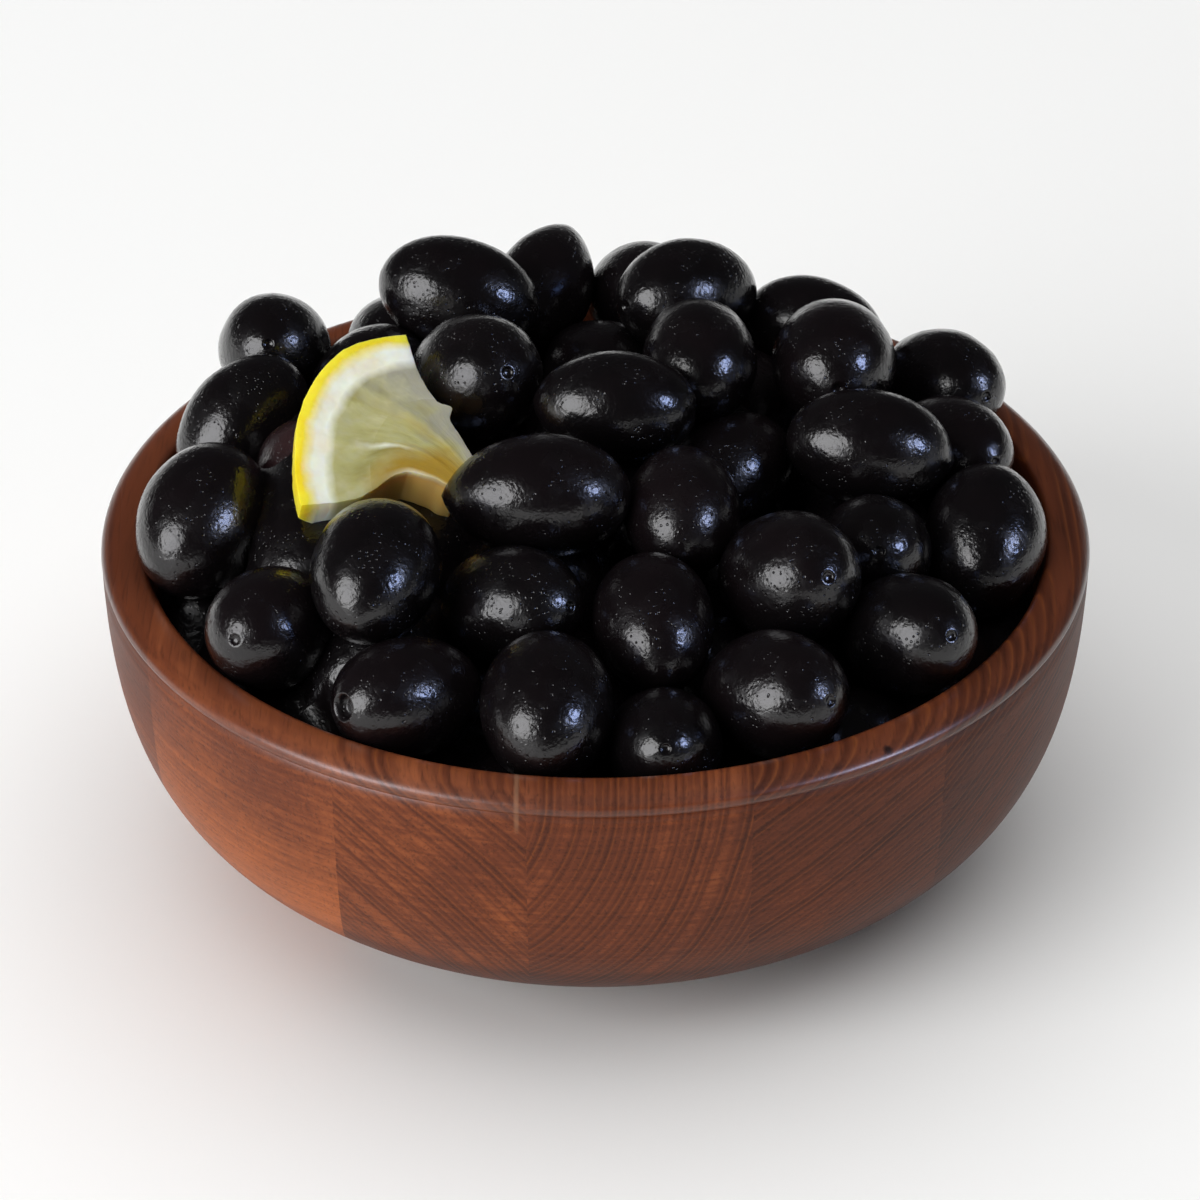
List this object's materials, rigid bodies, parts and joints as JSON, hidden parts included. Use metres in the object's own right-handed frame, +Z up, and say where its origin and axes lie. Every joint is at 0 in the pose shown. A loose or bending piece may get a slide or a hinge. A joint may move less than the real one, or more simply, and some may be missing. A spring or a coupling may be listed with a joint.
{
  "type": "bowl of olives",
  "caption": "Round turned wooden bowl with a beaded rim, heaped with whole black olives and a thick piece of lemon tucked in at the left.",
  "frame": {"origin": "middle of the bowl's flat foot, on the surface it stands on", "axes": "+Z up, out of the bowl; the shown side faces -Y, with +X to its right and the lemon at -X"},
  "size_m": [0.16, 0.16, 0.0869],
  "materials": {
    "turned_wood": "oiled, satin",
    "olive_skin": "wet, glossy",
    "lemon": "moist cut fruit with yellow rind"
  },
  "bodies": {
    "root": {"bowl": "turned_wood", "olive_heap": "olive_skin", "lemon_wedge": "lemon"}
  },
  "joints": []
}
